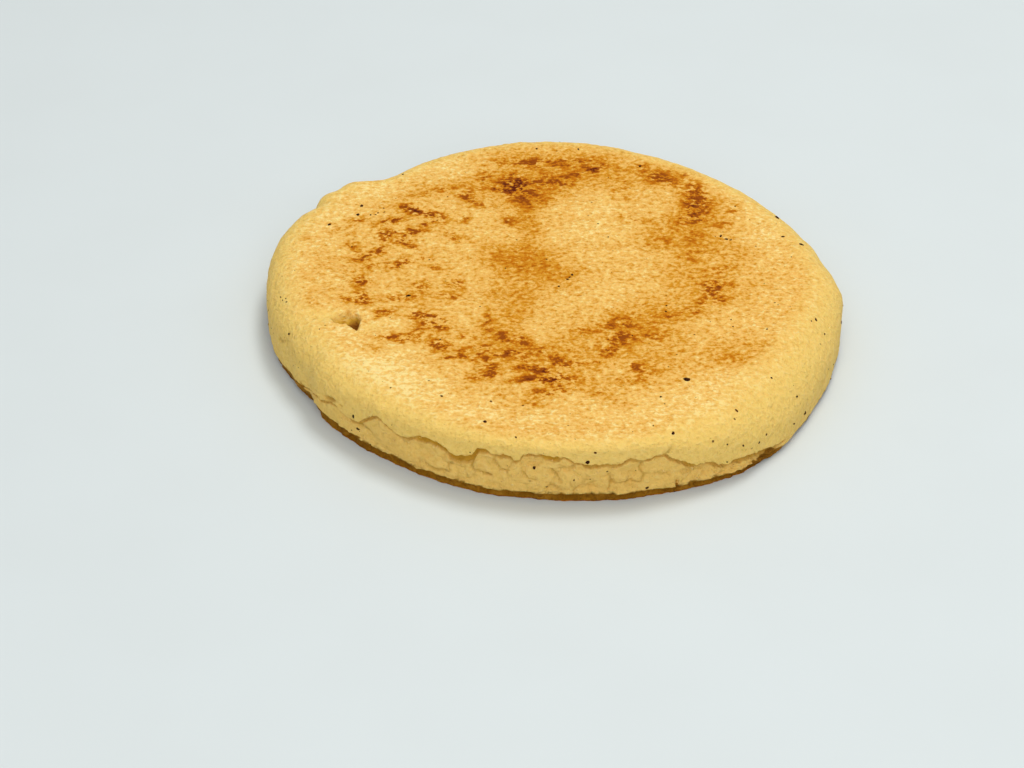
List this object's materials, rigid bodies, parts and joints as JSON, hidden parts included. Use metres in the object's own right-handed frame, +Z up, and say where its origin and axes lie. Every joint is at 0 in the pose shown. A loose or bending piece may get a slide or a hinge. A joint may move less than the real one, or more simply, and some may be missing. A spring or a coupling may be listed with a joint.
{
  "type": "arepa corn cake",
  "caption": "Thick round griddled maize cake with a flat toasted top, a soft rounded edge, a cracked side wall and a flat underside it rests on.",
  "frame": {"origin": "middle of the cake's footprint, on the flat underside", "axes": "+Z up through the cake's thickness, -Y towards the cracked side that is shown as the front, +X to that side's right"},
  "size_m": [0.1618, 0.1588, 0.0183],
  "materials": {
    "griddled_maize_crust": "matte pale-yellow cooked maize crust, toasted brown in patches on top"
  },
  "bodies": {
    "root": {"arepa": "griddled_maize_crust"}
  },
  "joints": []
}
